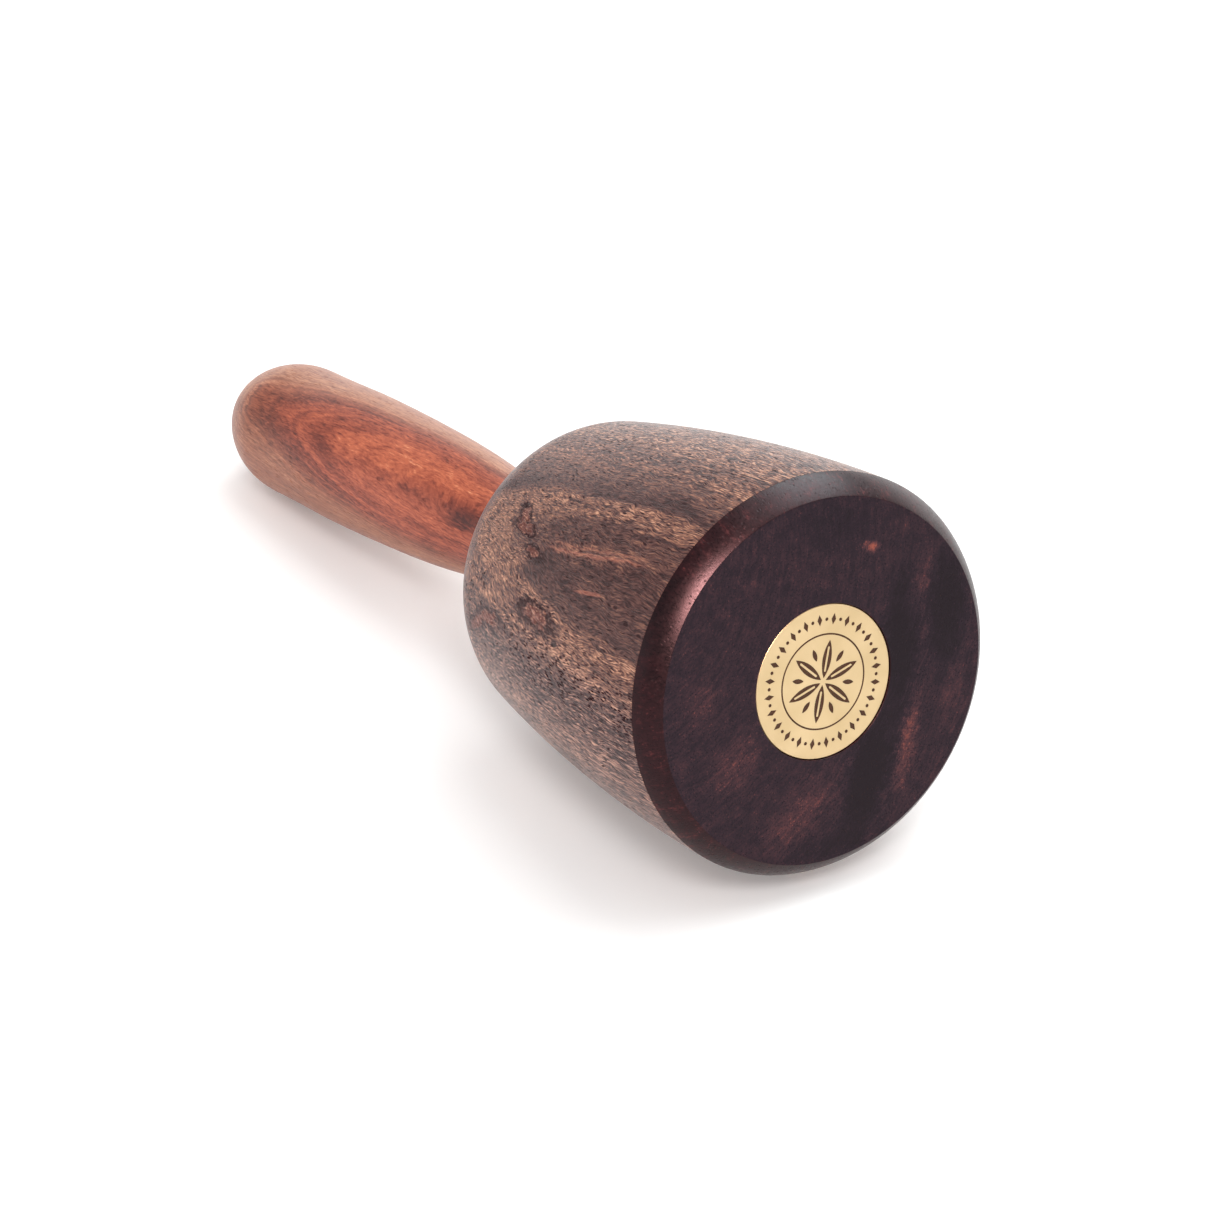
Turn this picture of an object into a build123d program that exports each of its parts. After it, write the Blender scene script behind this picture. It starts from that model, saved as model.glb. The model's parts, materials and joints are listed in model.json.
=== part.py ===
from build123d import *
import math
import os

# Round carver's mallet, all dimensions in millimetres.
#
# The head and the handle are turned on one axis. The finished mallet lies on its side: the swell
# of the head and the rounded butt of the handle both touch z = 0, so the turning axis climbs
# towards the striking face, which looks along +X and a little up. The origin is the middle of the
# bottom of the mallet's box.
#
# Every profile is drawn on the "lathe" plane: local x is the station along the turning axis,
# measured from the striking face towards the butt, and local y is the turned radius.

# ---- Head -------------------------------------------------------------------------------------
rim_diameter = 90.0           # widest circle, where the face bevel meets the side
face_diameter = 81.7          # flat striking face inside the bevel
bevel_depth = 5.7             # bevel, measured along the axis
bevel_crown = 0.45            # how far the bevel bulges out of its chord
side_curve_radius = 450.0     # long barrel curve of the side
side_curve_station = -2.0     # station of that curve's centre, so the side only ever narrows
shoulder_station = 86.0       # where the side turns in towards the handle
shoulder_radius = 22.0        # round of the shoulder

# ---- Handle -----------------------------------------------------------------------------------
seat_diameter = 28.8          # shoulder that seats on the back of the head
seat_flare = 0.35             # slope of the handle where it leaves its seat
neck_diameter = 24.8          # narrowest place, just behind the head
neck_station = 121.0
throat_diameter = 28.5        # where the grip starts to swell
throat_station = 141.0
flank_diameter = 31.7         # halfway up the swell
flank_station = 163.0
grip_diameter = 33.4          # widest place of the grip
grip_station = 201.0
butt_diameter = 32.9          # where the rounded butt starts
butt_station = 225.5
butt_length = 23.5            # length of the rounded butt
nose_radius = 13.2            # round at its very end, tangent to a flatter cheek arc

# ---- Joint between head and handle ------------------------------------------------------------
tenon_diameter = 22.0         # round tenon right through the head, glued and wedged
kerf_width = 1.2              # saw cut across the tenon
kerf_depth = 46.0
wedge_length = 38.0
wedge_thickness = 3.4         # at its driven end

# ---- Brass disc let into the face -------------------------------------------------------------
disc_diameter = 34.6
disc_thickness = 2.0
disc_edge_break = 0.15
disc_side_gap = 0.12          # all round the disc
disc_sunk = 0.3               # front of the disc below the striking face
adhesive_thickness = 0.2
engraving_depth = 0.35
fill_sunk = 0.06              # enamel below the brass

# ---- Engraved ornament ------------------------------------------------------------------------
ornament_turn = 14.0          # degrees, how the disc happens to be turned in its seat
petal_count = 6
petal_root = 0.7              # petals stand this far off the middle, clear of each other
petal_length = 8.6
petal_width = 2.3
petal_rib_width = 0.45        # brass rib left along each petal
petal_rib_length = 5.6
leaf_orbit = 6.6              # small leaves between the petals
leaf_length = 3.0
leaf_width = 1.1
circle_radius = 10.6          # thin circle round the rosette
circle_width = 0.4
bead_orbit = 13.9             # border of lozenges and beads
bead_pairs = 24
lozenge_length = 2.6
lozenge_width = 1.25
bead_diameter = 0.8

# ---- Worked out from the above ----------------------------------------------------------------
rim_radius = rim_diameter / 2
face_radius = face_diameter / 2
tenon_radius = tenon_diameter / 2
disc_radius = disc_diameter / 2
recess_radius = disc_radius + disc_side_gap
recess_depth = disc_sunk + disc_thickness + adhesive_thickness
butt_radius = butt_diameter / 2

# Side curve of the head: one arc, its centre far across the axis
rim_rise = math.sqrt(side_curve_radius**2 - (bevel_depth - side_curve_station) ** 2)
side_curve_level = rim_radius - rim_rise
side_mid_station = (bevel_depth + shoulder_station) / 2


def side_point(station):
    """Point of the head's side curve at a station along the axis."""
    rise = math.sqrt(side_curve_radius**2 - (station - side_curve_station) ** 2)
    return (station, side_curve_level + rise)


shoulder_slope = math.degrees(
    math.asin((shoulder_station - side_curve_station) / side_curve_radius)
)


# Butt: a cheek arc that leaves the grip level, then the nose arc centred on the axis
nose_station = butt_station + butt_length - nose_radius
cheek_radius = ((butt_length - nose_radius) ** 2 + butt_radius**2 - nose_radius**2) / (
    2 * (butt_radius - nose_radius)
)
cheek_level = butt_radius - cheek_radius
nose_angle = math.atan2(-cheek_level, nose_station - butt_station)
nose_start = (
    nose_station + nose_radius * math.cos(nose_angle),
    nose_radius * math.sin(nose_angle),
)

# Tilt of the axis: the line that touches the side curve and the cheek arc is the surface below
centre_run = butt_station - side_curve_station
centre_rise = cheek_level - side_curve_level
tilt = math.atan2(centre_run, centre_rise) - math.acos(
    (side_curve_radius - cheek_radius) / math.hypot(centre_run, centre_rise)
)

# Box of the lying mallet: its front is the foot of the face's edge, its rear the nose
front_reach = face_radius * math.sin(tilt)
rear_reach = nose_station * math.cos(tilt) + nose_radius
face_height = (
    side_curve_station * math.sin(tilt) + side_curve_level * math.cos(tilt) + side_curve_radius
)
face_centre = Vector((rear_reach - front_reach) / 2, 0, face_height)
into_handle = Vector(-math.cos(tilt), 0, -math.sin(tilt))
lathe = Plane(origin=face_centre, x_dir=into_handle, z_dir=(0, 1, 0))
turning_axis = Axis(face_centre, into_handle)
face_plane = Plane(origin=face_centre, x_dir=(0, 1, 0), z_dir=-into_handle)
recess_floor = face_plane.offset(-recess_depth)
disc_back = recess_floor.offset(adhesive_thickness)
disc_front = face_plane.offset(-disc_sunk)

print(f"axis tilt {math.degrees(tilt):.3f} degrees, face centre {face_centre}")

# ---- Head: turned block with a through bore for the tenon and a recess for the disc ------------
with BuildPart() as head:
    with BuildSketch(lathe):
        with BuildLine():
            bevel = SagittaArc((0, face_radius), (bevel_depth, rim_radius), bevel_crown)
            ThreePointArc(
                bevel @ 1, side_point(side_mid_station), side_point(shoulder_station)
            )
            shoulder = JernArc(
                start=side_point(shoulder_station),
                tangent=Vector(1, 0).rotate(Axis.Z, -shoulder_slope),
                radius=shoulder_radius,
                arc_size=-(90 - shoulder_slope),
            )
            Polyline(shoulder @ 1, ((shoulder @ 1).X, 0), (0, 0), bevel @ 0)
        make_face()
    revolve(axis=turning_axis)
    with Locations(face_plane):
        CounterBoreHole(
            radius=tenon_radius, counter_bore_radius=recess_radius, counter_bore_depth=recess_depth
        )
head.part.label = "head"
seat_station = (shoulder @ 1).X
print(f"head length {seat_station:.2f}, overall length {butt_station + butt_length:.2f}")

# ---- Handle: neck, swelling grip and rounded butt, with a kerfed tenon -------------------------
with BuildPart() as handle:
    with BuildSketch(lathe):
        with BuildLine():
            grip = Spline(
                (seat_station, seat_diameter / 2),
                (neck_station, neck_diameter / 2),
                (throat_station, throat_diameter / 2),
                (flank_station, flank_diameter / 2),
                (grip_station, grip_diameter / 2),
                (butt_station, butt_radius),
                tangents=[(1, -seat_flare), (1, 0)],
            )
            cheek = TangentArc(grip @ 1, nose_start, tangent=(1, 0))
            nose = TangentArc(cheek @ 1, (butt_station + butt_length, 0), tangent=cheek % 1)
            Polyline(
                nose @ 1,
                (recess_depth, 0),
                (recess_depth, tenon_radius),
                (seat_station, tenon_radius),
                grip @ 0,
            )
        make_face()
    revolve(axis=turning_axis)
    with BuildSketch(lathe):
        with BuildLine():
            Polyline(
                (recess_depth, wedge_thickness / 2),
                (recess_depth + wedge_length, kerf_width / 2),
                (recess_depth + kerf_depth, kerf_width / 2),
                (recess_depth + kerf_depth, -kerf_width / 2),
                (recess_depth + wedge_length, -kerf_width / 2),
                (recess_depth, -wedge_thickness / 2),
                close=True,
            )
        make_face()
    extrude(amount=tenon_diameter, both=True, mode=Mode.SUBTRACT)
handle.part.label = "handle"

# ---- Wedge: driven into the kerf and pared flush with the tenon --------------------------------
with BuildPart() as tenon_wedge:
    with BuildSketch(lathe):
        with BuildLine():
            Polyline(
                (recess_depth, wedge_thickness / 2),
                (recess_depth + wedge_length, kerf_width / 2),
                (recess_depth + wedge_length, -kerf_width / 2),
                (recess_depth, -wedge_thickness / 2),
                close=True,
            )
        make_face()
    extrude(amount=tenon_diameter, both=True)
    with BuildSketch(recess_floor):
        Circle(tenon_radius)
    extrude(amount=-wedge_length, mode=Mode.INTERSECT)
tenon_wedge.part.label = "tenon_wedge"

# ---- Adhesive: thin bed between the recess floor and the disc ----------------------------------
with BuildPart() as disc_adhesive:
    with BuildSketch(recess_floor):
        Circle(disc_radius)
    extrude(amount=adhesive_thickness)
disc_adhesive.part.label = "disc_adhesive"

# ---- Ornament: rosette in a thin circle, inside a border of lozenges and beads -----------------
with BuildSketch() as petal:
    with BuildLine():
        ThreePointArc((-petal_length / 2, 0), (0, petal_width / 2), (petal_length / 2, 0))
        ThreePointArc((petal_length / 2, 0), (0, -petal_width / 2), (-petal_length / 2, 0))
    make_face()
    SlotOverall(petal_rib_length, petal_rib_width, mode=Mode.SUBTRACT)

with BuildSketch() as leaf:
    with BuildLine():
        ThreePointArc((-leaf_length / 2, 0), (0, leaf_width / 2), (leaf_length / 2, 0))
        ThreePointArc((leaf_length / 2, 0), (0, -leaf_width / 2), (-leaf_length / 2, 0))
    make_face()

with BuildSketch() as lozenge:
    with BuildLine():
        Polyline(
            (-lozenge_length / 2, 0),
            (0, lozenge_width / 2),
            (lozenge_length / 2, 0),
            (0, -lozenge_width / 2),
            close=True,
        )
    make_face()

petal_orbit = petal_root + petal_length / 2
petal_step = 360 / petal_count
bead_step = 360 / bead_pairs
with BuildSketch() as ornament:
    Circle(circle_radius + circle_width / 2)
    Circle(circle_radius - circle_width / 2, mode=Mode.SUBTRACT)
    with PolarLocations(petal_orbit, petal_count, start_angle=ornament_turn):
        add(petal.sketch)
    with PolarLocations(leaf_orbit, petal_count, start_angle=ornament_turn + petal_step / 2):
        add(leaf.sketch)
    with PolarLocations(bead_orbit, bead_pairs, start_angle=ornament_turn):
        add(lozenge.sketch)
    with PolarLocations(bead_orbit, bead_pairs, start_angle=ornament_turn + bead_step / 2):
        Circle(bead_diameter / 2)

# ---- Disc: brass, its rim just broken, with the ornament cut into its front --------------------
with BuildPart() as face_disc:
    with BuildSketch(disc_back):
        Circle(disc_radius)
    extrude(amount=disc_thickness)
    chamfer(face_disc.edges().group_by(Axis(disc_back.origin, disc_back.z_dir))[-1], disc_edge_break)
    with BuildSketch(disc_front):
        add(ornament.sketch)
    extrude(amount=-engraving_depth, mode=Mode.SUBTRACT)
face_disc.part.label = "face_disc"

# ---- Enamel: dark fill standing in every cut of the ornament -----------------------------------
with BuildPart() as disc_engraving_fill:
    with BuildSketch(disc_front.offset(-engraving_depth)):
        add(ornament.sketch)
    extrude(amount=engraving_depth - fill_sunk)
disc_engraving_fill.part.label = "disc_engraving_fill"

# ---- One STEP file per piece -------------------------------------------------------------------
os.makedirs("parts", exist_ok=True)
for piece in (head, handle, tenon_wedge, disc_adhesive, face_disc, disc_engraving_fill):
    export_step(piece.part, f"parts/{piece.part.label}.step")
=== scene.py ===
import json
import math

import bmesh
import bpy
import numpy as np
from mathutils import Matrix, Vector


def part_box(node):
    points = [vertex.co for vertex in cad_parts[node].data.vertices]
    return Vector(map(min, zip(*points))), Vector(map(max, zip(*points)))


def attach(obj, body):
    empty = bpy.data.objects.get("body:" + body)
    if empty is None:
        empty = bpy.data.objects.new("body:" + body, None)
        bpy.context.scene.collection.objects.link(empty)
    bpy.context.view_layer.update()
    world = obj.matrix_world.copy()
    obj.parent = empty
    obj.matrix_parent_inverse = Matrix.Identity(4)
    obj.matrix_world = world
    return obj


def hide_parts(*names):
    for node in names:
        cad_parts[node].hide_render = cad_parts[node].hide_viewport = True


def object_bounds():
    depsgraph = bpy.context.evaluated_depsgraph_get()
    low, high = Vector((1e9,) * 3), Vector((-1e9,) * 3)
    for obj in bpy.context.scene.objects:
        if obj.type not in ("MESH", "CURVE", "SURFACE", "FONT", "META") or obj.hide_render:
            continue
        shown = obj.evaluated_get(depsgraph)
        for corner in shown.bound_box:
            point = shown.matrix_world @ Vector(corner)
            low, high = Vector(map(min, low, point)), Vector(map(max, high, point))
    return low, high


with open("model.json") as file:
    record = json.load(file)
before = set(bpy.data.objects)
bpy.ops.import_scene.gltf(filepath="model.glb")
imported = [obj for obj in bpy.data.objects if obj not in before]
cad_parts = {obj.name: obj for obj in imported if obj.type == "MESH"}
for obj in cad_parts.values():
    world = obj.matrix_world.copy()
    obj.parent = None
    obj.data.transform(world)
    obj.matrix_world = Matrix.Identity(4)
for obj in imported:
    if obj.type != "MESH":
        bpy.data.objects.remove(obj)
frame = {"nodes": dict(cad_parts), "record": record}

# Turned carver's mallet lying on a pale floor.
#
# Shapes and wood figure are worked out in millimetres in lathe coordinates: "station" runs along
# the turning axis from the striking face towards the butt, and across the axis lie "side" (the
# camera's side of the mallet) and "up". An angle round the axis starts at the top and grows
# towards the camera's side. Only finished vertices are turned into metres.

MM = 0.001
cad_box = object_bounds()

# ---- Lathe coordinates, read from the frame ------------------------------------------------------

face_mount = frame["record"]["mounts"][0]
AXIS = np.array(face_mount["axis"]) / np.linalg.norm(face_mount["axis"])
SIDE = np.array((0.0, -1.0, 0.0))
UP = np.array((-AXIS[2], 0.0, AXIS[0]))
disc_middle = np.mean(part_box("face_disc"), axis=0)
FACE = disc_middle + AXIS * np.dot(np.array(face_mount["pos_m"]) - disc_middle, AXIS)


def to_lathe(points):
    """Rows of x, y, z in metres become rows of side, up, station in millimetres."""
    away = (points - FACE) / MM
    return np.stack((away @ SIDE, away @ UP, -(away @ AXIS)), axis=-1)


def to_frame(points):
    """Rows of side, up, station in millimetres become rows of x, y, z in metres."""
    side, up, station = (np.asarray(points)[:, [i]] for i in range(3))
    return FACE + MM * (side * SIDE + up * UP - station * AXIS)


def node_points(name):
    """Vertices of a CAD node in lathe coordinates."""
    mesh = frame["nodes"][name].data
    flat = np.empty(len(mesh.vertices) * 3)
    mesh.vertices.foreach_get("co", flat)
    return to_lathe(flat.reshape(-1, 3))


# ---- Turned outlines: rows of station, radius ----------------------------------------------------

ROW = 0.7            # distance between rows of vertices on the shown surfaces
HIDDEN_ROW = 6.0     # and inside the joint
SAME_STATION = 0.02  # vertices closer than this along the axis are on one circle
SUPPORT = 0.25       # a row this far from a rounded edge keeps the flat beside it flat
CLEARANCE = 1.3      # rows closer to the corner than this times the support row's are left out


def cad_outline(node, over_radius, from_station=-1.0):
    """Outer outline of a turned CAD node, leaving out its bores and anything before a station."""
    side, up, station = node_points(node).T
    radius = np.hypot(side, up)
    outside = (radius > over_radius) & (station > from_station)
    points = sorted(zip(station[outside], -radius[outside]))
    line = []
    for at, minus_radius in points:
        if not line or at - line[-1][0] > SAME_STATION:
            line.append([at, -minus_radius])
        else:
            line[-1][1] = max(line[-1][1], -minus_radius)
    return np.array(line)


def smooth_line(points, step=ROW, least=0.8):
    """Smooth curve through points, resampled. Points closer than least to the last are skipped."""
    kept = [points[0]]
    for point in points[1:-1]:
        if math.dist(point, kept[-1]) > least and math.dist(point, points[-1]) > least:
            kept.append(point)
    p = np.array(kept + [points[-1]])
    lengths = np.linalg.norm(np.diff(p, axis=0), axis=1)
    run = np.concatenate(([0.0], np.cumsum(lengths)))
    chord = np.diff(p, axis=0) / lengths[:, None]
    before, after = lengths[:-1, None], lengths[1:, None]
    slope = np.empty_like(p)
    slope[1:-1] = (chord[:-1] * after + chord[1:] * before) / (before + after)
    slope[0] = 2 * chord[0] - slope[1]
    slope[-1] = 2 * chord[-1] - slope[-2]
    at = np.linspace(0, run[-1], math.ceil(run[-1] / step) + 1)
    i = np.clip(np.searchsorted(run, at, side="right") - 1, 0, len(lengths) - 1)
    h = lengths[i][:, None]
    t = (at - run[i])[:, None] / h
    return (
        (2 * t**3 - 3 * t**2 + 1) * p[i]
        + (t**3 - 2 * t**2 + t) * h * slope[i]
        + (3 * t**2 - 2 * t**3) * p[i + 1]
        + (t**3 - t**2) * h * slope[i + 1]
    )


def straight(start, end, step=ROW):
    """Evenly spaced points from start to end."""
    return np.linspace(start, end, max(2, math.ceil(math.dist(start, end) / step) + 1))


def eased(before, after, radius, steps=5):
    """Two stretches that meet at a corner, joined by an arc that takes a little wood away."""
    corner = before[-1]
    back = before[np.linalg.norm(before - corner, axis=1) > radius][-1] - corner
    ahead = after[np.linalg.norm(after - corner, axis=1) > radius][0] - corner
    back, ahead = back / np.linalg.norm(back), ahead / np.linalg.norm(ahead)
    half = math.acos(back @ ahead) / 2
    reach = radius / math.tan(half)
    inward = (back + ahead) / np.linalg.norm(back + ahead)
    centre = corner + inward * radius / math.sin(half)
    turns = np.linspace(-1, 1, steps + 1) * (math.pi / 2 - half)
    across = (ahead - back) / np.linalg.norm(ahead - back)
    arc = [centre + radius * (math.sin(a) * across - math.cos(a) * inward) for a in turns]
    far = reach + SUPPORT
    return np.concatenate((
        before[np.linalg.norm(before - corner, axis=1) > far * CLEARANCE],
        [corner + back * far],
        arc,
        [corner + ahead * far],
        after[np.linalg.norm(after - corner, axis=1) > far * CLEARANCE],
    ))


def lathe(name, outline, segments, closed):
    """Turned mesh. A closed outline is a loop off the axis; any other runs from axis to axis."""
    rings = outline if closed else outline[1:-1]
    turn = np.arange(segments) * 2 * math.pi / segments
    station = np.repeat(rings[:, 0], segments)
    radius = np.repeat(rings[:, 1], segments)
    angle = np.tile(turn, len(rings))
    points = np.stack((radius * np.sin(angle), radius * np.cos(angle), station), axis=-1)
    faces = []
    for ring in range(len(rings) if closed else len(rings) - 1):
        here = ring * segments
        there = (ring + 1) % len(rings) * segments
        for k in range(segments):
            nxt = (k + 1) % segments
            faces.append((here + k, here + nxt, there + nxt, there + k))
    if not closed:
        first, last = len(points), len(points) + 1
        ends = [(0, 0, outline[0][0]), (0, 0, outline[-1][0])]
        points = np.concatenate((points, ends))
        end = (len(rings) - 1) * segments
        for k in range(segments):
            nxt = (k + 1) % segments
            faces.append((first, nxt, k))
            faces.append((last, end + k, end + nxt))
    return mesh_object(name, points, faces)


def mesh_object(name, points, faces):
    """New smooth object from lathe coordinates, kept in the CAD's box, its faces turned outwards."""
    mesh = bpy.data.meshes.new(name)
    mesh.from_pydata(np.clip(to_frame(points), *cad_box).tolist(), [], faces)
    shape = bmesh.new()
    shape.from_mesh(mesh)
    bmesh.ops.recalc_face_normals(shape, faces=shape.faces)
    for face in shape.faces:
        face.smooth = True
    shape.to_mesh(mesh)
    shape.free()
    piece = bpy.data.objects.new(name, mesh)
    bpy.context.scene.collection.objects.link(piece)
    return piece


# ---- Formulas in shader nodes --------------------------------------------------------------------


def srgb(red, green, blue):
    """A colour given the usual way, 0 to 255, as the linear colour that a node takes."""
    channels = np.array((red, green, blue)) / 255
    linear = np.where(channels < 0.04045, channels / 12.92, ((channels + 0.055) / 1.055) ** 2.4)
    return (*linear.tolist(), 1.0)


class Field:
    """A value that varies over a surface. Arithmetic on it adds the nodes that work it out."""

    def __init__(self, paint, socket):
        self.paint = paint
        self.socket = socket

    def math(self, operation, *values):
        """Result of arithmetic on these values."""
        return self.paint.add("Math", values, operation=operation)

    def __add__(self, other):
        return self.math("ADD", self, other)

    def __sub__(self, other):
        return self.math("SUBTRACT", self, other)

    def __rsub__(self, other):
        return self.math("SUBTRACT", other, self)

    def __mul__(self, other):
        return self.math("MULTIPLY", self, other)

    def __truediv__(self, other):
        return self.math("DIVIDE", self, other)

    def __neg__(self):
        return self * -1.0

    def __abs__(self):
        return self.math("ABSOLUTE", self)

    __radd__ = __add__
    __rmul__ = __mul__

    def root(self):
        return self.math("SQRT", self)

    def cosine(self):
        return self.math("COSINE", self)

    def least(self, other):
        return self.math("MINIMUM", self, other)

    def most(self, other):
        return self.math("MAXIMUM", self, other)

    def bell(self, middle, width):
        """1 where the field is at middle, falling to about a third at width from it."""
        off = (self - middle) / width
        return self.math("EXPONENT", -(off * off))

    def rise(self, low, high):
        """0 up to low, 1 from high on, smooth between. Swap the two for a fall."""
        if low > high:
            return 1.0 - self.rise(high, low)
        return self.paint.add("MapRange", (self, low, high), interpolation_type="SMOOTHSTEP")

    def ramp(self, *stops):
        """Value or colour read off a list of (where, what), in straight lines between its entries."""
        start, end = stops[0][0], stops[-1][0]
        node = self.paint.node("ValToRGB", ((self - start) / (end - start),))
        elements = node.color_ramp.elements
        for index, (where, what) in enumerate(stops):
            if index == 0 or index == len(stops) - 1:
                element = elements[0 if index == 0 else -1]
            else:
                element = elements.new((where - start) / (end - start))
            element.color = what if isinstance(what, tuple) else (what, what, what, 1.0)
        return Field(self.paint, node.outputs["Color"])


class Paint:
    """One material under construction: its nodes, and the lathe coordinates of what it covers."""

    def __init__(self, name, **shader):
        self.material = bpy.data.materials.new(name)
        self.material.use_nodes = True
        self.tree = self.material.node_tree
        self.shader = self.tree.nodes["Principled BSDF"]
        for socket, value in shader.items():
            self.shader.inputs[socket.replace("_", " ")].default_value = value
        place = self.add("VectorMath", (self.source("TexCoord", "Object"), tuple(FACE)),
                         operation="SUBTRACT")
        self.side, self.up, self.station = (
            self.vector("DOT_PRODUCT", place, tuple(direction / MM), output="Value")
            for direction in (SIDE, UP, -AXIS)
        )
        self.radius = (self.side * self.side + self.up * self.up).root()

    def node(self, kind, inputs=(), **settings):
        """New node. Inputs fill its sockets in order, or by name if they are a dict."""
        node = self.tree.nodes.new("ShaderNode" + kind)
        for name, value in settings.items():
            setattr(node, name, value)
        pairs = inputs.items() if isinstance(inputs, dict) else enumerate(inputs)
        for key, value in pairs:
            self.plug(value, node.inputs[key])
        return node

    def plug(self, value, socket):
        """A field is linked to a socket, and any other value is set on it."""
        if isinstance(value, Field):
            self.tree.links.new(value.socket, socket)
        else:
            socket.default_value = value

    def add(self, kind, inputs=(), output=0, **settings):
        """New node, and the field on its output."""
        return Field(self, self.node(kind, inputs, **settings).outputs[output])

    def source(self, kind, output):
        """The named output of a new node that takes no inputs."""
        return self.add(kind, output=output)

    def vector(self, operation, *inputs, output=0):
        """Result of arithmetic on vectors."""
        return self.add("VectorMath", inputs, output, operation=operation)

    def triple(self, x, y, z):
        """Three fields or numbers as one vector."""
        return self.add("CombineXYZ", (x, y, z))

    def split(self, place):
        """The first two coordinates of a vector."""
        parts = self.node("SeparateXYZ", (place,))
        return Field(self, parts.outputs["X"]), Field(self, parts.outputs["Y"])

    def angle(self):
        """Angle round the axis in degrees."""
        return self.side.math("ARCTAN2", self.side, self.up) * math.degrees(1)

    def endwise(self):
        """1 where the surface faces along the axis, as on end grain, 0 where it faces across."""
        normal = self.source("NewGeometry", "Normal")
        return abs(self.vector("DOT_PRODUCT", normal, tuple(AXIS), output="Value"))

    def cells(self, across, along, seed=0.0, where=None):
        """Coordinates for a texture whose features are this many millimetres in size."""
        side, up, station = where or (self.side, self.up, self.station)
        return self.triple(side / across + seed, up / across, station / along)

    def noise(self, across, along, seed=0.0, detail=2.0, rough=0.5, where=None):
        """Noise round 0, mostly within 0.5 of it."""
        fac = self.add(
            "TexNoise",
            {"Vector": self.cells(across, along, seed, where), "Scale": 1.0, "Detail": detail,
             "Roughness": rough},
        )
        return (fac - 0.5) * 2.0

    def dashes(self, across, along, share, seed=0.0, where=None, size=0.42):
        """1 inside short dashes along the grain, which fade out at size cells from their middle.

        About that share of the cells holds a dash.
        """
        node = self.node("TexVoronoi", {"Vector": self.cells(across, along, seed, where),
                                        "Scale": 1.0})
        inside = Field(self, node.outputs["Distance"]).rise(size, size * 0.48)
        pick = self.node("SeparateColor", (Field(self, node.outputs["Color"]),))
        return inside * Field(self, pick.outputs["Red"]).rise(1.0 - share, 1.0 - share * 0.5)

    def strokes(self, across, along, width, seed=0.0, where=None):
        """1 along thin winding strokes that run mostly with the grain."""
        return abs(self.noise(across, along, seed, 2.0, 0.5, where)).rise(width, 0.0)

    def turned(self, shift):
        """Coordinates taken from shift millimetres further round the axis."""
        share = shift / self.radius
        return (self.side + self.up * share, self.up - self.side * share, self.station)

    def local(self, x, y, ellipse):
        """Coordinates from the middle of an ellipse, along and across it, in its half axes.

        The ellipse is given as its middle's x and y, its half axes and its tilt in degrees.
        """
        middle_x, middle_y, half_length, half_width, tilt = ellipse
        local = self.node(
            "Mapping",
            {"Vector": self.triple(x, y, 0.0), "Location": (middle_x, middle_y, 0.0),
             "Rotation": (0.0, 0.0, math.radians(tilt)), "Scale": (half_length, half_width, 1.0)},
            vector_type="TEXTURE",
        )
        return Field(self, local.outputs[0])

    def length(self, place):
        """Distance of a place from the origin of its coordinates."""
        return self.vector("LENGTH", place, output="Value")

    def spot(self, x, y, ellipse):
        """Distance from the middle of an ellipse, 1 on its edge."""
        return self.length(self.local(x, y, ellipse))

    def mix(self, share, first, second):
        """First colour turning into the second as share goes from 0 to 1."""
        colours = {"Factor_Float": share, "A_Color": first, "B_Color": second}
        node = self.node("Mix", (), data_type="RGBA")
        for socket in node.inputs:
            if socket.identifier in colours:
                self.plug(colours[socket.identifier], socket)
        return Field(self, node.outputs[2])

    def weaken(self, socket, share):
        """Keep only a share of a shader value, a share that differs from place to place."""
        target = self.shader.inputs[socket]
        self.plug(share * target.default_value, target)

    def finish(self, colour, roughness, height):
        """Colour, roughness and a relief in millimetres go to the shader."""
        bump = self.add("Bump", {"Height": height, "Distance": MM, "Strength": 1.0})
        for socket, value in (("Base Color", colour), ("Roughness", roughness), ("Normal", bump)):
            self.plug(value, self.shader.inputs[socket])
        return self.material


# ---- Head: dense dark wood -----------------------------------------------------------------------

# The block was split off beside the middle of a log: the pith runs along the head, outside it.
PITH_DISTANCE = 65.0   # from the turning axis
PITH_ANGLE = 54.0      # degrees round the axis

# Colours by tone. The head is greyer low on the camera's side: painted reflection of the pale floor.
HEAD_PALETTE = (
    (0.0, srgb(42, 20, 21)),
    (0.2, srgb(70, 42, 41)),
    (0.4, srgb(96, 64, 58)),
    (0.6, srgb(127, 85, 70)),
    (0.8, srgb(158, 110, 87)),
    (1.0, srgb(198, 148, 120)),
)
LOWER_PALETTE_PAINTED_REFLECTION = (
    (0.0, srgb(36, 18, 22)),
    (0.2, srgb(68, 45, 48)),
    (0.5, srgb(110, 80, 76)),
    (0.8, srgb(152, 114, 102)),
    (1.0, srgb(188, 148, 132)),
)
BEVEL_PALETTE = (
    (0.0, srgb(12, 3, 6)),
    (0.5, srgb(34, 10, 14)),
    (1.0, srgb(92, 42, 42)),
)
FACE_PALETTE = (
    (0.0, srgb(5, 6, 14)),
    (0.3, srgb(22, 16, 26)),
    (0.5, srgb(44, 28, 35)),
    (0.7, srgb(72, 42, 45)),
    (1.0, srgb(140, 72, 58)),
)

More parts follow.
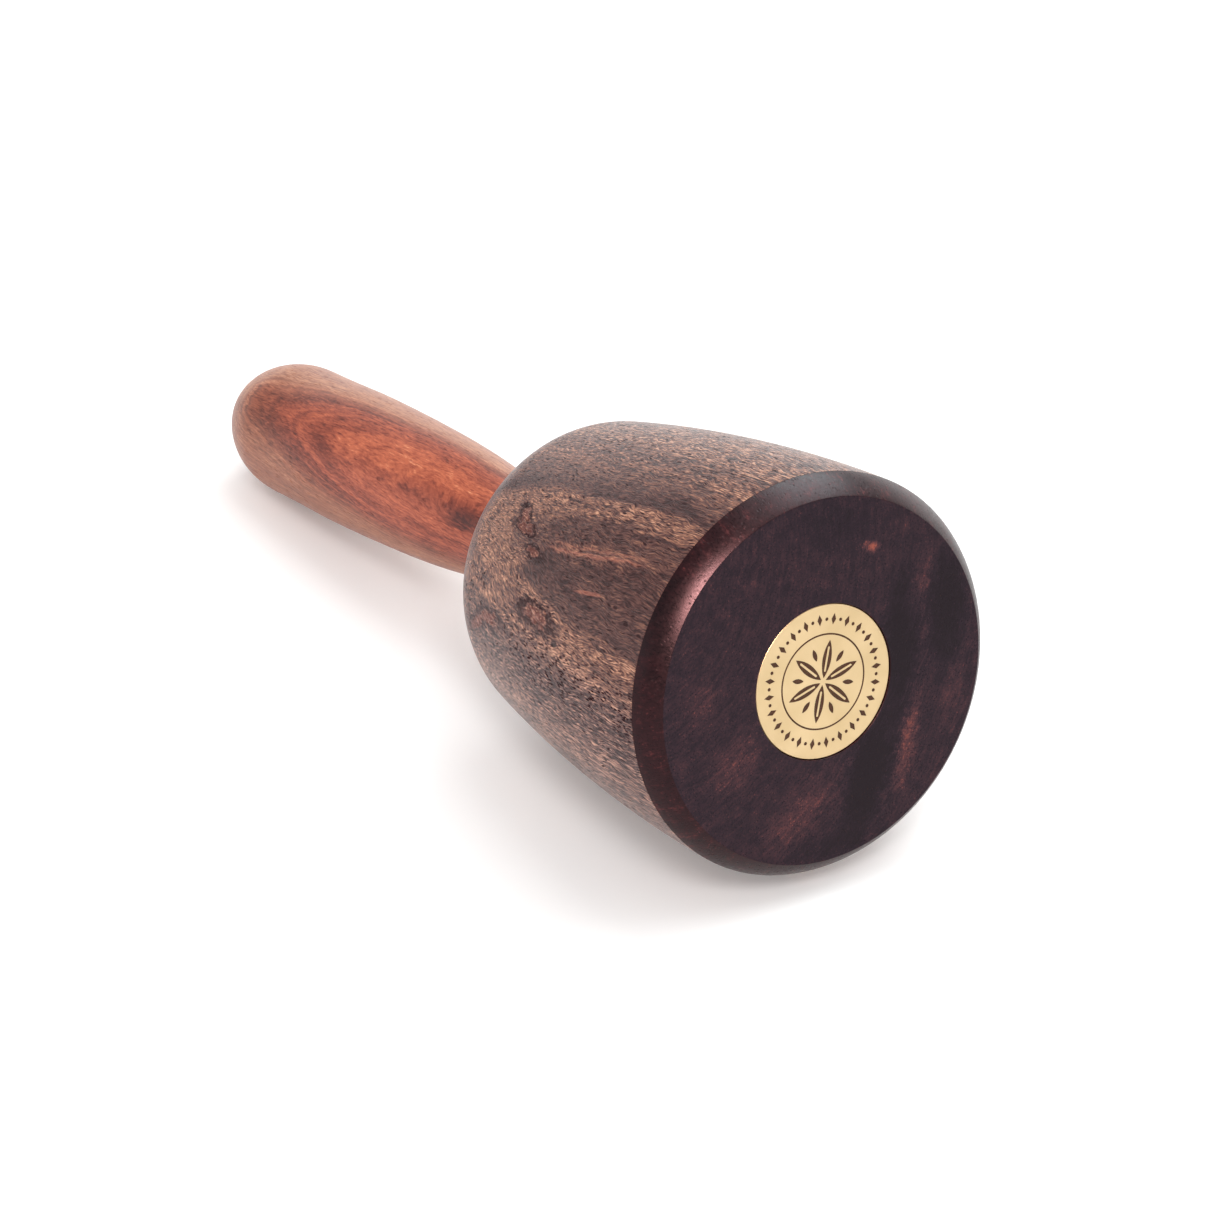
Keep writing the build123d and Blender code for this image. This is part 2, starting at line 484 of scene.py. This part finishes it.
# Tone of the wood by distance from the pith, on the upper and the lower side of the middle line
UPPER_RINGS = (
    (18, 0.30), (20.6, 0.28), (22.2, 0.34), (24.6, 0.28), (25.6, 0.46), (26.6, 0.60),
    (28.6, 0.62), (29.6, 0.50), (30.4, 0.22), (31.6, 0.22), (33, 0.32), (36, 0.41), (38.5, 0.43),
    (39.5, 0.56), (41, 0.50), (43, 0.48), (46, 0.44), (47.5, 0.60), (50, 0.56), (54, 0.54), (60, 0.54),
)
LOWER_RINGS = (
    (18, 0.28), (20.6, 0.25), (21.4, 0.33), (22.5, 0.24), (24, 0.26), (25.2, 0.32), (26.2, 0.62),
    (28.6, 0.68), (29.8, 0.54), (30.8, 0.46), (32.5, 0.56), (34.5, 0.50), (36.5, 0.40), (40, 0.38),
    (44, 0.39), (47, 0.46), (50, 0.48), (51.5, 0.66), (53, 0.53), (60, 0.5),
)

# Small knots: station, angle, half length, half width, tilt in degrees
KNOTS = (
    (67.5, 50.8, 5.2, 1.3, -6),
    (70.5, 47.0, 3.6, 2.0, -38),
    (59.2, 56.6, 4.2, 1.1, -6),
    (50.0, 73.5, 7.5, 2.4, -6),
    (74.0, 84.0, 6.5, 2.2, 10),
    (81.0, 88.5, 5.0, 2.0, 30),
)
KNOT_LIFT = 1.6        # how far the knots push the rings off

# Single features of the head's figure, written in the same way
PIN_KNOT = (40.0, 78.0, 1.2, 0.7, 0)
RED_LENS = (31.0, 60.0, 6.5, 0.5, 8)
DARK_SHADE = (56.0, 59.5, 7.0, 2.4, 20)
PALE_PATCH = (34.0, 80.5, 16.0, 3.2, -4)
CROTCH_SIZE = 14.0     # radius of the crotch wood round the knots
CROTCH = (70.0, 53.5, CROTCH_SIZE, CROTCH_SIZE, 0)
SURFACE_RADIUS = 42.0  # millimetres round the axis are measured at this radius


def on_surface(feature):
    """A feature of the head as an ellipse in millimetres along and round the head."""
    station, angle, *rest = feature
    return (station, math.radians(angle) * SURFACE_RADIUS, *rest)


def from_pith(paint):
    """Side and up measured from the pith."""
    off_side = paint.side - PITH_DISTANCE * math.sin(math.radians(PITH_ANGLE))
    off_up = paint.up - PITH_DISTANCE * math.cos(math.radians(PITH_ANGLE))
    return off_side, off_up


def pith_distance(paint):
    """Distance from the pith, with the slow waves of the growth rings."""
    off_side, off_up = from_pith(paint)
    return (off_side * off_side + off_up * off_up).root() + paint.noise(16.0, 55.0, seed=3.0) * 1.5


def nearest_knot(paint, wobbly):
    """Distance from the nearest knot, 1 on its edge."""
    knot = None
    for feature in KNOTS:
        away = paint.spot(*wobbly, on_surface(feature))
        knot = away if knot is None else knot.least(away)
    return knot


def ring_figure(paint, rings, angle):
    """Tone of the growth rings: as listed near the pith, free bands farther from it."""
    below = angle.rise(PITH_ANGLE - 5, PITH_ANGLE + 4)
    figure = rings.ramp(*UPPER_RINGS) * (1.0 - below) + rings.ramp(*LOWER_RINGS) * below
    bands = paint.add("TexNoise", {"Vector": paint.triple(rings / 5.0, paint.station / 90.0, 4.0),
                                   "Scale": 1.0, "Detail": 2.0})
    bands = bands.ramp((0.3, 0.25), (0.45, 0.46), (0.55, 0.52), (0.7, 0.8))
    far = rings.rise(52.0, 60.0)
    return figure * (1.0 - far) + bands * far


def crotch_wood(paint, wobbly):
    """Where the wood runs round the knots instead of along the head, and its bowed streaks."""
    bowed = paint.local(*wobbly, on_surface(CROTCH))
    loop = paint.length(bowed)
    bow_x, bow_y = paint.split(bowed)
    bows = (loop * CROTCH_SIZE, bow_x * (CROTCH_SIZE * 0.07), bow_y * CROTCH_SIZE)
    bows = paint.noise(0.5, 7.0, seed=27.0, detail=3.0, rough=0.7, where=bows)
    return loop.rise(1.25, 0.6) * 0.7, bows


def heart_line(paint, angle, around, wobble):
    """A line in the dark heart: its pale edge, and its red with the red lens."""
    station = paint.station
    wave = paint.noise(9.0, 14.0, seed=13.0) * 2.5 + wobble * 1.2
    line = angle - station * 0.18 + wave
    reach = station.rise(12.0, 24.0) * station.rise(57.0, 48.0)
    red = line.bell(43.8, 0.55).most(line.bell(42.0, 0.4) * 0.6) * reach
    lens = paint.spot(station + wobble, around + wobble * 0.5, on_surface(RED_LENS))
    return line.bell(42.4, 1.7) * reach, red.most(lens.rise(1.1, 0.6))


def patched_with_painted_reflection(paint, figure, wobbly, angle):
    """The figure with its darker and paler places, painted reflection that pales the underside and the
    top, and a little paler as a whole.
    """
    station = paint.station
    shade = paint.spot(*wobbly, on_surface(DARK_SHADE))
    figure = figure - shade.rise(1.5, 0.3) * 0.16
    bright = paint.spot(*wobbly, on_surface(PALE_PATCH))
    figure = figure + bright.rise(1.4, 0.3) * 0.20 + angle.bell(88.0, 13.0) * 0.05
    # Paler low on the back of the underside: painted reflection of the pale floor.
    figure = figure + angle.rise(94.0, 110.0) * station.rise(44.0, 64.0) * 0.12
    # Paler along the top: painted reflection of the bright surroundings at grazing angles. A band near
    # the rim, a little round towards the camera's side, is paler too.
    top_edge = angle.bell(20.0, 9.0) * station.rise(24.0, 8.0)
    figure = figure + angle.rise(14.0, -6.0) * 0.10 + top_edge * 0.08
    return figure + 0.03


def knot_marks(paint, knot, angle, drawn):
    """Broken dark outlines round the knots, dark strokes in and beside them, and their cores."""
    jag = paint.noise(1.5, 2.6, seed=49.0, detail=3.0, rough=0.55)
    edge = knot + jag * 0.8
    broken = paint.noise(1.6, 2.4, seed=53.0).rise(-0.25, 0.15)
    outline = (edge.bell(1.0, 0.26) * (broken * 0.35 + 0.65)).most(edge.bell(0.40, 0.16) * broken)
    outline = outline * (1.0 - angle.rise(68.0, 80.0) * 0.45)
    strokes = paint.strokes(0.8, 3.6, 0.20, seed=47.0, where=drawn) * knot.bell(0.4, 1.0)
    return outline, strokes, edge.rise(0.9, 0.5)


def head_side_wood():
    """Side of the head, from its bevel to its back."""
    paint = Paint("head_side_wood", Specular_IOR_Level=0.15, Specular_Tint=(1.0, 0.8, 0.75, 1.0),
                  Sheen_Weight=0.24, Sheen_Roughness=0.15)
    station, angle = paint.station, paint.angle()
    around = angle * (math.radians(1) * SURFACE_RADIUS)

    # Knots, and the fibres that lean to get past them and curl everywhere
    wobble = paint.noise(1.7, 3.0, seed=11.0, detail=4.0, rough=0.65)
    wobbly = (station + wobble * 3.2, around + wobble * 1.5)
    knot = nearest_knot(paint, wobbly)
    lean = station.rise(36.0, 84.0) * angle.bell(62.0, 15.0) * 6.0
    curl = paint.noise(4.5, 9.0, seed=15.0) * 1.4 + paint.noise(1.6, 4.0, seed=17.0) * 0.4
    drawn = paint.turned(lean + curl)
    rings = (
        pith_distance(paint)
        + knot.bell(0.0, 1.7) * KNOT_LIFT
        + paint.noise(4.0, 18.0, seed=5.0, where=drawn) * 0.9
        + paint.noise(1.2, 7.0, seed=7.0, where=drawn) * 0.5
    )

    # Figure: the rings, pale crotch wood over them, the line in the heart and the patches
    crotch, bows = crotch_wood(paint, wobbly)
    figure = ring_figure(paint, rings, angle) * (1.0 - crotch) + crotch * 0.56
    pale_line, red = heart_line(paint, angle, around, wobble)
    figure = patched_with_painted_reflection(paint, figure + pale_line * 0.16, wobbly, angle)

    # Streaks along the rings or round the knots, fibres, pores and flecks. Their contrast is
    # stronger on the top and the underside, where the sheen veils them.
    bundles = paint.noise(1.8, 45.0, seed=19.0, detail=2.0, where=(rings, rings, station))
    streaks = paint.noise(0.5, 30.0, seed=21.0, detail=3.0, rough=0.7, where=(rings, rings, station))
    streaks = streaks * (1.0 - crotch) + bows * crotch * 1.6
    hairs = paint.noise(0.4, 9.0, seed=25.0, detail=3.0, rough=0.75, where=drawn)
    fibres = paint.noise(0.27, 3.2, seed=31.0, detail=2.0, rough=0.6, where=drawn)
    dark_fibres = fibres.rise(-0.02, -0.26)
    pale_fibres = fibres.rise(0.03, 0.28)
    mottle = paint.noise(6.0, 14.0, seed=41.0, detail=3.0)
    strokes = paint.strokes(0.6, 7.0, 0.09, seed=45.0, where=drawn)
    vessel_lines = paint.strokes(1.3, 14.0, 0.10, seed=46.0, where=drawn)
    pores = paint.dashes(0.5, 3.0, 0.45, seed=51.0, where=drawn)
    flecks = paint.dashes(0.5, 3.0, 0.35, seed=61.0, where=drawn)
    pits = paint.dashes(0.5, 1.6, 0.7, seed=57.0, where=paint.turned(lean), size=0.6)
    pits = pits * (angle.bell(86.0, 13.0) * station.rise(76.0, 52.0) + angle.rise(30.0, 10.0) * 0.55)
    veiled = angle.rise(80.0, 96.0) * 0.8 + angle.rise(25.0, -5.0) * 0.5
    contrast = (0.36 + figure * 1.25) * (1.0 + veiled)
    tone = (
        figure + red * 0.24 + mottle * 0.15 + bundles * 0.18
        + contrast * (
            streaks * 0.42 + hairs * 0.46
            + pale_fibres * 0.27 - dark_fibres * 0.30
            - strokes * 0.20 - vessel_lines * 0.26 - pores * 0.48 + flecks * 0.16
        )
    ) * (1.0 - pits)

    # Marks of the knots
    outline, dark_strokes, core = knot_marks(paint, knot, angle, drawn)
    tone = (tone + core * 0.22 - dark_strokes * 0.55) * (1.0 - outline)
    pin = paint.spot(station, around, on_surface(PIN_KNOT))
    tone = tone - pin.rise(1.4, 0.8) * 0.5

    # Low on the camera's side the greyer palette is painted reflection of the pale floor.
    colour = paint.mix(angle.rise(76.0, 92.0) * 0.6, tone.ramp(*HEAD_PALETTE),
                       tone.ramp(*LOWER_PALETTE_PAINTED_REFLECTION))
    pink = (red * 0.36).most(core * 0.20)
    colour = paint.mix(pink, colour, srgb(170, 96, 80))
    roughness = 0.31 + pores * 0.2 - flecks * 0.03 + streaks * 0.06
    height = (pale_fibres - dark_fibres) * 0.007 + hairs * 0.01
    height = height - (pores + pits) * 0.04 - (strokes + vessel_lines) * 0.02

    # Pits don't shine, and pores and the dark marks of the knots shine less
    sound = 1.0 - pits.most(pores * 0.35).most(outline * 0.8).most(dark_strokes * 0.7)
    paint.weaken("Specular IOR Level", sound)
    paint.weaken("Sheen Weight", sound)
    return paint.finish(colour, roughness, height)


# Patches of the striking face: side, up, half length, half width, tilt in degrees, tone
FACE_PATCHES = (
    (-20.5, -20.0, 13.0, 2.6, 107, 0.34),
    (-25.0, 14.0, 10.0, 3.0, 117, 0.22),
    (24.0, -12.0, 8.0, 6.0, 140, 0.20),
    (31.0, 4.0, 7.0, 5.0, 130, 0.14),
    (8.0, -28.0, 13.0, 6.0, 150, 0.22),
    (-33.0, -12.0, 10.0, 3.5, 105, 0.16),
    (-20.5, 4.0, 18.0, 5.0, 98, -0.50),
    (-10.0, -24.0, 15.0, 6.0, 112, -0.55),
    (-33.0, 8.0, 15.0, 5.5, 95, -0.42),
    (-6.0, 34.0, 12.0, 6.0, 10, -0.14),
    (0.0, -38.0, 12.0, 4.0, 5, -0.18),
)
FACE_FLECK = (-14.5, 27.0, 1.8, 1.1, 20)


def head_end_wood():
    """End grain of the striking face and its bevel."""
    paint = Paint("head_end_wood", Specular_IOR_Level=0.20, Specular_Tint=(1.0, 0.66, 0.70, 1.0))
    rings = pith_distance(paint) + paint.noise(4.0, 18.0, seed=5.0) * 0.9
    off_side, off_up = from_pith(paint)
    along_ring = off_side.math("ARCTAN2", off_side, off_up) * PITH_DISTANCE
    wave = paint.noise(1.6, 20.0, seed=77.0, detail=5.0, rough=0.7)
    patches = 0.0
    for *ellipse, tone in FACE_PATCHES:
        away = paint.spot(paint.side + wave * 3.6, paint.up + wave * 3.6, ellipse)
        patches = away.rise(1.3, 0.2) * tone + patches
    fleck = paint.spot(paint.side + wave * 2.6, paint.up + wave * 2.0, FACE_FLECK).rise(1.8, 0.1)
    cloud = paint.noise(3.5, 40.0, seed=71.0, detail=5.0, rough=0.7)
    grit = paint.noise(0.5, 3.0, seed=75.0, detail=3.0, rough=0.7)
    arcs = paint.noise(1.0, 6.0, seed=73.0, detail=4.0, rough=0.65, where=(rings, rings, along_ring))
    pores = paint.dashes(0.6, 6.0, 0.4, seed=79.0)
    specks = paint.dashes(0.5, 1.5, 0.3, seed=83.0)
    grain = cloud * 0.34 + arcs * 0.38 + grit * 0.30 - pores * 0.14 + specks * 0.22
    face_tone = 0.37 + patches + grain + fleck * 0.55
    mottle = paint.noise(3.0, 3.0, seed=87.0, detail=4.0, rough=0.65)
    # The bevel is darker round 60 degrees round the axis: painted shade, standing in for the dark
    # surroundings it reflects there.
    bevel_tone = 0.38 + grain * 1.2 + mottle * 0.6 - paint.angle().bell(60.0, 15.0) * 0.34
    endwise = paint.endwise()
    colour = paint.mix(endwise.rise(0.90, 0.985), bevel_tone.ramp(*BEVEL_PALETTE),
                       face_tone.ramp(*FACE_PALETTE))
    roughness = 0.32 + pores * 0.15 + grit * 0.20 + mottle * 0.06
    return paint.finish(colour, roughness, grit * 0.010 - pores * 0.02)


# ---- Handle: red-brown wood ----------------------------------------------------------------------

HANDLE_PALETTE = (
    (0.0, srgb(66, 26, 22)),
    (0.25, srgb(112, 50, 38)),
    (0.5, srgb(154, 76, 55)),
    (0.75, srgb(188, 100, 70)),
    (1.0, srgb(222, 156, 114)),
)
OUTER_HANDLE_PALETTE = (
    (0.0, srgb(84, 46, 36)),
    (0.5, srgb(142, 87, 66)),
    (1.0, srgb(192, 136, 104)),
)

# Tone by ring, on the upper and the lower side of the tongues' middle line. A ring is named by the
# station at which it comes out of the grip there.
UPPER_TONGUES = (
    (138, 0.20), (158, 0.26), (163, 0.34), (169, 0.58), (186, 0.66), (191, 0.40), (198, 0.54),
    (204, 0.44), (211, 0.52), (219, 0.35), (225, 0.40), (234, 0.56), (246, 0.70), (270, 0.72),
    (300, 0.66), (420, 0.6),
)
LOWER_TONGUES = (
    (138, 0.18), (160, 0.22), (166, 0.30), (172, 0.48), (180, 0.58), (187, 0.44), (193, 0.26),
    (199, 0.58), (206, 0.32), (222, 0.35), (236, 0.42), (248, 0.50), (270, 0.54), (300, 0.50),
    (420, 0.5),
)
RING_SLOPE = 0.1       # the rings climb out of the grip by this much per millimetre
RING_APEX = 16.5       # radius of the grip where they come out
TONGUE_STATION = 190.0
TONGUE_ANGLE = 50.0    # of the middle line at that station
TONGUE_TURN = 0.1      # degrees by which the middle line turns per millimetre
GRIP_ARC = 0.24        # millimetres round the grip per degree
DARK_BLOT = (129.5, 15.6, 6.5, 3.8, 0)  # station, millimetres round the grip, half axes, tilt


def handle_rings(paint, angle):
    """The station that names the ring, with the waves of the rings."""
    middle = TONGUE_ANGLE - (paint.station - TONGUE_STATION) * TONGUE_TURN
    across = paint.radius * ((angle - middle) * math.radians(1)).cosine()
    return (
        paint.station
        + (RING_APEX - across) / RING_SLOPE
        + paint.noise(9.0, 40.0, seed=2.0) * 8.0
        + paint.noise(2.4, 12.0, seed=4.0) * 4.5
        + paint.noise(0.8, 4.0, seed=6.0) * 3.4
    )


def handle_wood():
    """The whole handle. Its rings come out of the grip as tongues."""
    paint = Paint("handle_wood", Specular_IOR_Level=0.22, Sheen_Weight=0.05, Sheen_Roughness=0.2)
    angle = paint.angle()
    curl = paint.noise(3.5, 7.0, seed=16.0) * 0.8
    climb = (paint.station - TONGUE_STATION) * 0.10 * angle.rise(40.0, 70.0)
    drawn = paint.turned(curl + climb)
    rings = handle_rings(paint, angle)
    below = angle.rise(44.0, 60.0)
    figure = rings.ramp(*UPPER_TONGUES) * (1.0 - below) + rings.ramp(*LOWER_TONGUES) * below
    streaks = paint.noise(5.0, 60.0, seed=22.0, detail=3.0, rough=0.55,
                          where=(rings, rings, paint.station))
    hairs = paint.noise(0.5, 6.0, seed=26.0, detail=3.0, rough=0.65, where=drawn)
    fibres = paint.noise(0.4, 2.3, seed=32.0, detail=2.0, rough=0.6, where=drawn)
    mottle = paint.noise(4.0, 9.0, seed=42.0, detail=3.0)
    strokes = paint.strokes(1.1, 5.0, 0.10, seed=46.0, where=drawn)
    pores = paint.dashes(0.6, 3.0, 0.5, seed=52.0, where=drawn)
    flecks = paint.dashes(0.6, 3.0, 0.45, seed=62.0, where=drawn)
    blot = paint.spot(paint.station + mottle * 2.0, angle * GRIP_ARC + mottle * 2.0, DARK_BLOT)
    blot = blot.rise(1.5, 0.2)
    tone = (
        figure + streaks * 0.42 + hairs * 0.30 + fibres * 0.28 + mottle * 0.16
        - strokes * 0.10 - pores * 0.12 + flecks * 0.10 - blot * 0.32
    )
    colour = paint.mix(rings.rise(205.0, 250.0), tone.ramp(*HANDLE_PALETTE),
                       tone.ramp(*OUTER_HANDLE_PALETTE))
    endwise = paint.endwise()
    colour = paint.mix(endwise.rise(0.45, 0.95) * 0.35, colour, srgb(120, 66, 52))
    roughness = 0.38 + pores * 0.15 + streaks * 0.05
    height = fibres * 0.012 + hairs * 0.008 - pores * 0.025
    return paint.finish(colour, roughness, height)


# ---- Small hidden wood and the disc --------------------------------------------------------------


def wedge_wood():
    paint = Paint("wedge_wood")
    grain = paint.noise(0.5, 20.0, seed=1.0, detail=4.0)
    pores = paint.dashes(0.4, 2.0, 0.3, seed=9.0)
    colour = (grain - pores * 0.3).ramp((-0.6, srgb(150, 112, 72)), (0.6, srgb(206, 170, 122)))
    return paint.finish(colour, 0.6 + pores * 0.2, grain * 0.02 - pores * 0.03)


def adhesive():
    paint = Paint("adhesive")
    cloud = paint.noise(1.6, 1.6, seed=2.0, detail=3.0)
    colour = cloud.ramp((-0.6, srgb(150, 132, 88)), (0.6, srgb(198, 180, 130)))
    return paint.finish(colour, 0.55 + cloud * 0.15, cloud * 0.03)


def disc_brass():
    paint = Paint("disc_brass", Metallic=1.0)
    brushed = paint.noise(0.12, 0.12, seed=5.0, detail=2.0)
    cloud = paint.noise(8.0, 8.0, seed=8.0)
    colour = (cloud + brushed * 0.4).ramp((-0.7, srgb(191, 168, 127)), (0.7, srgb(206, 185, 146)))
    return paint.finish(colour, 0.38 + cloud * 0.06 + brushed * 0.08, brushed * 0.002)


def engraving_enamel():
    paint = Paint("engraving_enamel", Specular_IOR_Level=0.2)
    grit = paint.noise(0.25, 0.25, seed=3.0, detail=3.0)
    colour = grit.ramp((-0.6, srgb(48, 26, 12)), (0.6, srgb(84, 52, 30)))
    return paint.finish(colour, 0.5 + grit * 0.15, grit * 0.01)


# ---- Head ----------------------------------------------------------------------------------------

HEAD_SEGMENTS = 288
RECESS_REACH = 20.0      # the disc's recess lies within this radius
LEVEL = 0.1              # vertices closer than this along the axis are level
FACE_EDGE_ROUND = 0.25
RIM_ROUND = 0.8
RECESS_EDGE_ROUND = 0.12

handle_points = node_points("handle")
head_points = node_points("head")
head_radius = np.hypot(head_points[:, 0], head_points[:, 1])
TENON_RADIUS = head_radius.min()
HEAD_END = head_points[:, 2].max()
TENON_START = handle_points[:, 2].min()
in_recess = (head_points[:, 2] > LEVEL) & (head_points[:, 2] < TENON_START + LEVEL)
RECESS_RADIUS = head_radius[in_recess & (head_radius < RECESS_REACH)].max()


def make_head():
    """The head with its bevel, bore and recess, side wood on its flank and end grain in front."""
    outline = cad_outline("head", RECESS_RADIUS + 1)
    rim = outline[:, 1].argmax()
    face_edge, back_edge = outline[0], outline[-1]
    bevel = smooth_line(outline[:rim + 1])
    flank = smooth_line(outline[rim:])
    recess_edge = np.array((0.0, RECESS_RADIUS))
    recess_foot = np.array((TENON_START, RECESS_RADIUS))
    bore_start = np.array((TENON_START, TENON_RADIUS))
    bore_end = np.array((HEAD_END, TENON_RADIUS))
    face = straight(recess_edge, face_edge, 2.0)
    line = eased(straight(recess_foot, recess_edge, 0.5), face, RECESS_EDGE_ROUND)
    line = eased(line, bevel, FACE_EDGE_ROUND)
    line = eased(line, flank, RIM_ROUND)
    line = np.concatenate((
        line,
        straight(back_edge, bore_end, 2.0)[1:],
        straight(bore_end, bore_start, HIDDEN_ROW)[1:],
        straight(bore_start, recess_foot, 2.0)[1:-1],
    ))
    piece = lathe("head_turned", line, HEAD_SEGMENTS, closed=True)
    piece.data.materials.append(head_side_wood())
    piece.data.materials.append(head_end_wood())
    for face in piece.data.polygons:
        centre = to_lathe(np.array(face.center))
        face.material_index = int(centre[2] < outline[rim][0])
    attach(piece, "root")
    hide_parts("head")


# ---- Handle --------------------------------------------------------------------------------------

GRIP_SEGMENTS = 192
KERF_DEPTH = 46.0        # saw cut across the tenon, opened by the wedge
KERF_WIDTH = 1.2
WEDGE_LENGTH = 38.0
WEDGE_THICKNESS = 3.4    # at its driven end
KERF_OVERRUN = 1.0       # the cutter starts this far before the tenon's end


def cut_kerf(piece):
    """Saw the tenon for the wedge, and take the cutter away again."""
    taper = (WEDGE_THICKNESS - KERF_WIDTH) / WEDGE_LENGTH
    start = TENON_START - KERF_OVERRUN
    half_start = (WEDGE_THICKNESS + taper * KERF_OVERRUN) / 2
    reach = TENON_RADIUS + KERF_OVERRUN
    outline = (
        (start, half_start), (TENON_START + WEDGE_LENGTH, KERF_WIDTH / 2),
        (TENON_START + KERF_DEPTH, KERF_WIDTH / 2), (TENON_START + KERF_DEPTH, -KERF_WIDTH / 2),
        (TENON_START + WEDGE_LENGTH, -KERF_WIDTH / 2), (start, -half_start),
    )
    count = len(outline)
    points = [(side, up, station) for side in (-reach, reach) for station, up in outline]
    faces = [tuple(range(count)), tuple(range(count, 2 * count))]
    faces += [(i, (i + 1) % count, (i + 1) % count + count, i + count) for i in range(count)]
    cutter = mesh_object("kerf_cutter", points, faces)
    cut = piece.modifiers.new("kerf", "BOOLEAN")
    cut.operation = "DIFFERENCE"
    cut.solver = "EXACT"
    cut.object = cutter
    depsgraph = bpy.context.evaluated_depsgraph_get()
    sawn = bpy.data.meshes.new_from_object(piece.evaluated_get(depsgraph))
    piece.modifiers.clear()
    piece.data = sawn
    bpy.data.objects.remove(cutter)


def make_handle():
    """The handle from the end of its tenon to its butt."""
    outline = cad_outline("handle", -1.0, HEAD_END - SAME_STATION)
    shown = smooth_line(outline)
    tenon_end = np.array((TENON_START, TENON_RADIUS))
    tenon_foot = np.array((HEAD_END, TENON_RADIUS))
    line = np.concatenate((
        straight((TENON_START, 0.0), tenon_end, 3.0)[:-1],
        straight(tenon_end, tenon_foot, HIDDEN_ROW)[:-1],
        straight(tenon_foot, shown[0], 1.0)[:-1],
        shown,
    ))
    piece = lathe("handle_turned", line, GRIP_SEGMENTS, closed=False)
    cut_kerf(piece)
    piece.data.materials.clear()
    piece.data.materials.append(handle_wood())
    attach(piece, "root")
    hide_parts("handle")


# ---- Pieces that keep their CAD shape ------------------------------------------------------------


def paint_cad_nodes():
    for node, material in (
        ("tenon_wedge", wedge_wood()),
        ("disc_adhesive", adhesive()),
        ("face_disc", disc_brass()),
        ("disc_engraving_fill", engraving_enamel()),
    ):
        mesh = frame["nodes"][node].data
        mesh.materials.clear()
        mesh.materials.append(material)


# ---- Floor, light and camera ---------------------------------------------------------------------

FLOOR_REACH = 4.0      # metres from the middle to each side
FLOOR_GAP = 0.0002     # metres of air under the mallet


def make_floor():
    mesh = bpy.data.meshes.new("floor")
    corners = [(x * FLOOR_REACH, y * FLOOR_REACH, 0) for x, y in ((-1, -1), (1, -1), (1, 1), (-1, 1))]
    mesh.from_pydata(corners, [], [(0, 1, 2, 3)])
    floor = bpy.data.objects.new("floor", mesh)
    floor.location.z = -FLOOR_GAP
    bpy.context.scene.collection.objects.link(floor)
    # The paper glows faintly, though it is no lamp: it lights the mallet from below and lightens its
    # shadow.
    paint = Paint("glowing_floor_paper", Emission_Color=(1.0, 1.0, 1.0, 1.0), Emission_Strength=0.15)
    cloud = paint.noise(40.0, 40.0, seed=1.0, detail=3.0)
    colour = cloud.ramp((-0.6, srgb(240, 240, 240)), (0.6, srgb(246, 246, 245)))
    mesh.materials.append(paint.finish(colour, 0.8 + cloud * 0.05, cloud * 0.02))


WORLD_BRIGHTNESS = 0.72
LIGHT_AIM = (0.0, 0.0, 0.05)


def area_light(name, place, width, height, brightness, gloss_colour=None):
    """Soft panel of that brightness, which the camera doesn't see directly.

    With a gloss colour it has that colour, and is only seen in reflections.
    """
    light = bpy.data.lights.new(name, "AREA")
    light.shape = "RECTANGLE"
    light.size, light.size_y = width, height
    light.energy = brightness * math.pi * width * height
    light.color = gloss_colour or (1.0, 1.0, 1.0)
    lamp = bpy.data.objects.new(name, light)
    lamp.location = place
    lamp.rotation_mode = "QUATERNION"
    lamp.rotation_quaternion = (Vector(LIGHT_AIM) - Vector(place)).to_track_quat("-Z", "Y")
    lamp.visible_camera = False
    lamp.visible_diffuse = gloss_colour is None
    bpy.context.scene.collection.objects.link(lamp)


def make_light():
    world = bpy.data.worlds.new("studio")
    world.use_nodes = True
    background = world.node_tree.nodes["Background"]
    background.inputs["Color"].default_value = (1.0, 1.0, 1.0, 1.0)
    background.inputs["Strength"].default_value = WORLD_BRIGHTNESS
    bpy.context.scene.world = world
    area_light("overhead", (0.05, 0.55, 1.35), 1.6, 1.2, 2.0)
    area_light("key", (0.88, -0.50, 0.90), 0.34, 0.34, 14.0)
    area_light("rear_panel", (-1.20, 0.60, 0.28), 1.3, 0.5, 1.1)
    area_light("right_panel", (-0.35, 1.25, 0.38), 1.2, 0.7, 1.9)
    area_light("side_fill", (-0.50, -1.30, 0.28), 1.8, 0.6, 1.15)
    # Tinted panels for the light patches on the bevel's near and far side
    area_light("near_glint", (0.955, -0.56, 0.87), 0.52, 0.52, 70.0, (1.0, 0.68, 0.62))
    area_light("far_glint", (-0.02, 0.80, 1.25), 1.4, 0.8, 8.5, (0.7, 0.98, 1.0))
    bpy.context.scene.view_settings.view_transform = "Standard"


CAMERA_AIM = Vector((0.035454, 0.0, 0.029058))
CAMERA_AZIMUTH = math.radians(-32.922)   # from +X towards +Y
CAMERA_ELEVATION = math.radians(28.086)
CAMERA_DISTANCE = 1.136146
CAMERA_LENS = 148.27                     # millimetres
CAMERA_SENSOR = 36.0                     # millimetres wide


def make_camera():
    camera = bpy.data.cameras.new("camera")
    camera.lens = CAMERA_LENS
    camera.sensor_width = CAMERA_SENSOR
    holder = bpy.data.objects.new("camera", camera)
    back = Vector((
        math.cos(CAMERA_ELEVATION) * math.cos(CAMERA_AZIMUTH),
        math.cos(CAMERA_ELEVATION) * math.sin(CAMERA_AZIMUTH),
        math.sin(CAMERA_ELEVATION),
    ))
    holder.location = CAMERA_AIM + back * CAMERA_DISTANCE
    holder.rotation_mode = "QUATERNION"
    holder.rotation_quaternion = (-back).to_track_quat("-Z", "Y")
    bpy.context.scene.collection.objects.link(holder)
    bpy.context.scene.camera = holder


make_head()
make_handle()
paint_cad_nodes()
make_floor()
make_light()
make_camera()
